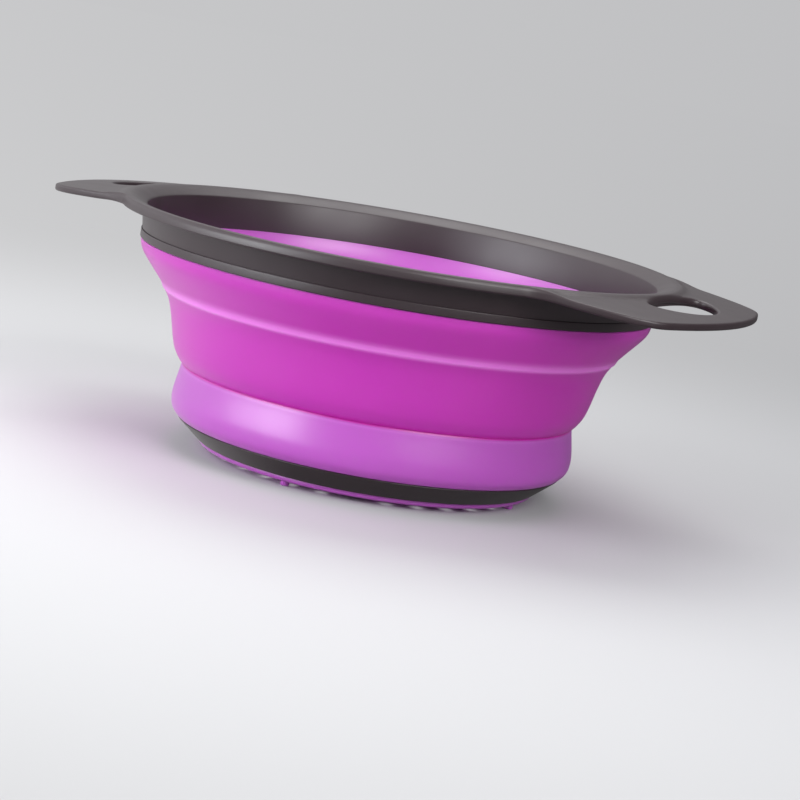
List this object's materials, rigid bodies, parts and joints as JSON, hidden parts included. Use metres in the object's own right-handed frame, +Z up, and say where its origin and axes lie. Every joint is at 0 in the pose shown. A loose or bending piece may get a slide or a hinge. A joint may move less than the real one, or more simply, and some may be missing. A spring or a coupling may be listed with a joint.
{
  "type": "collapsible silicone colander",
  "caption": "Round collapsible strainer bowl: rigid rim with two slotted ear handles, folding silicone wall, perforated floor on small feet, conical base ring.",
  "frame": {"origin": "on the bowl's axis, on the plane that the feet stand on", "axes": "+Z up along the bowl's axis, X through the middles of the two ear handles"},
  "size_m": [0.305, 0.241, 0.1024],
  "materials": {
    "grey_plastic": "dark warm grey moulded plastic, satin",
    "magenta_silicone": "magenta silicone, satin, slightly translucent"
  },
  "bodies": {
    "base": {"base_ring": "grey_plastic", "strainer_floor": "magenta_silicone", "lower_wall": "magenta_silicone", "folding_wall": "magenta_silicone", "foot_1": "magenta_silicone", "foot_2": "magenta_silicone", "foot_3": "magenta_silicone", "foot_4": "magenta_silicone"},
    "rim": {"rim_frame": "grey_plastic", "retaining_ring": "grey_plastic", "upper_wall": "magenta_silicone"}
  },
  "joints": [
    {"name": "collapse", "type": "slide", "parent": "base", "child": "rim", "axis": [0, 0, -1], "range_m": [0, 0.062], "deforming": ["folding_wall"]}
  ]
}
